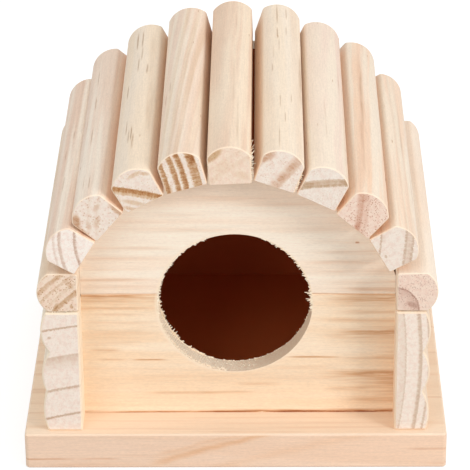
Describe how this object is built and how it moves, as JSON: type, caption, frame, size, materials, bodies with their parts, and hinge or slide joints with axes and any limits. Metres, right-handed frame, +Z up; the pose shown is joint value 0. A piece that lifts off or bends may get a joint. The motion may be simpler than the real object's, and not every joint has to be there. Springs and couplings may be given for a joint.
{
  "type": "wooden hamster house",
  "caption": "Small pet hide of bare pine: flat base, moulded side walls, arched end panels with a round entrance in front, and a vaulted roof of half-round logs.",
  "frame": {"origin": "middle of the base board's underside", "axes": "+Z up, -Y out of the entrance, +X across the house to the right as seen from the front"},
  "size_m": [0.13, 0.118, 0.1084],
  "materials": {
    "pine_base": "sanded, unfinished",
    "pine_siding": "moulded and sanded, unfinished",
    "pine_panel": "sanded, unfinished",
    "pine_log": "moulded and sanded, unfinished",
    "brad_steel": "bright wire"
  },
  "bodies": {
    "root": {"base_board": "pine_base", "left_wall": "pine_siding", "right_wall": "pine_siding", "front_panel_lower": "pine_panel", "front_panel_upper": "pine_panel", "back_panel_lower": "pine_panel", "back_panel_upper": "pine_panel", "base_brads": "brad_steel", "roof_log_01": "pine_log", "roof_log_02": "pine_log", "roof_log_03": "pine_log", "roof_log_04": "pine_log", "roof_log_05": "pine_log", "roof_log_06": "pine_log", "roof_log_07": "pine_log", "roof_log_08": "pine_log", "roof_log_09": "pine_log", "roof_log_10": "pine_log", "roof_log_11": "pine_log"}
  },
  "joints": []
}
